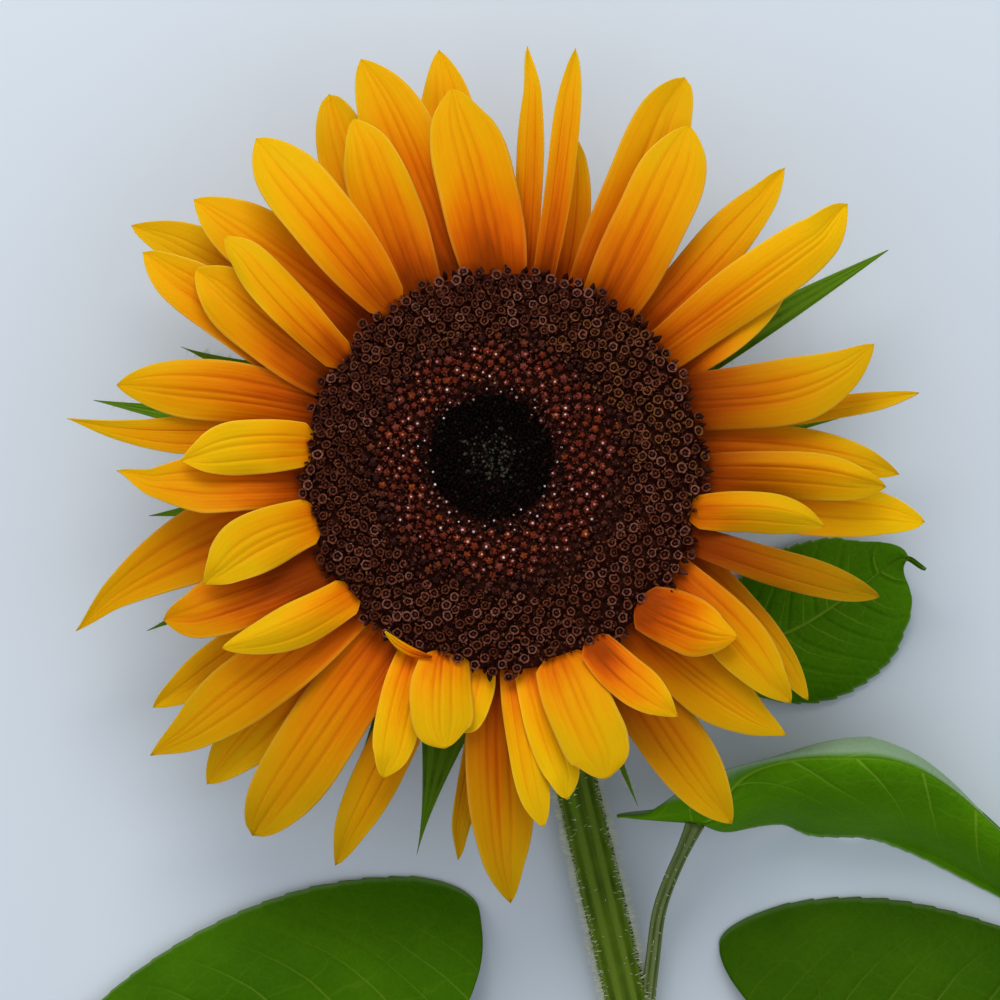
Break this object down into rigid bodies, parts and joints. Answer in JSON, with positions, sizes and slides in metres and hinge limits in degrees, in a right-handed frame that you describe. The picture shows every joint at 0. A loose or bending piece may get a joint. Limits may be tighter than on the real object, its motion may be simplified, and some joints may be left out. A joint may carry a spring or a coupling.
{
  "type": "cut sunflower",
  "caption": "Open sunflower head on a bent neck with a length of stem and leaves, cut from the plant and lying on its back",
  "frame": {"origin": "On the surface the cut flower lies on, at the bottom centre of its bounding box.", "axes": "+Z up and shortest: the head faces up. +Y longest: from the cut end of the stem towards the head. +X to the right, seen from above with +Y up."},
  "size_m": [0.2686, 0.286, 0.0563],
  "materials": {
    "petal": "thin satin ray florets, deep orange at the foot and yellow at the tip",
    "disc": "dense dark red-brown florets with a near-black heart",
    "receptacle": "matt green back of the head with hairy pointed bracts",
    "stem": "grey-green, ribbed, with fine pale bristles",
    "leaf": "matt mid green with paler veins and a finely toothed edge"
  },
  "bodies": {
    "root": {"petal_01": "petal", "petal_02": "petal", "petal_03": "petal", "petal_04": "petal", "petal_05": "petal", "petal_06": "petal", "petal_07": "petal", "petal_08": "petal", "petal_09": "petal", "petal_10": "petal", "petal_11": "petal", "petal_12": "petal", "petal_13": "petal", "petal_14": "petal", "petal_15": "petal", "petal_16": "petal", "petal_17": "petal", "petal_18": "petal", "petal_19": "petal", "petal_20": "petal", "petal_21": "petal", "petal_22": "petal", "petal_23": "petal", "petal_24": "petal", "petal_25": "petal", "petal_26": "petal", "petal_27": "petal", "petal_28": "petal", "petal_29": "petal", "petal_30": "petal", "petal_31": "petal", "petal_32": "petal", "petal_33": "petal", "petal_34": "petal", "petal_35": "petal", "petal_36": "petal", "petal_37": "petal", "petal_38": "petal", "petal_39": "petal", "petal_40": "petal", "petal_41": "petal", "petal_42": "petal", "petal_43": "petal", "petal_44": "petal", "petal_45": "petal", "petal_46": "petal", "petal_47": "petal", "petal_48": "petal", "petal_49": "petal", "petal_50": "petal", "petal_51": "petal", "petal_52": "petal", "petal_53": "petal", "disc": "disc", "receptacle": "receptacle", "stem": "stem", "leaf_upper_right": "leaf", "leaf_right": "leaf", "leaf_lower_right": "leaf", "leaf_lower_left": "leaf"}
  },
  "joints": []
}
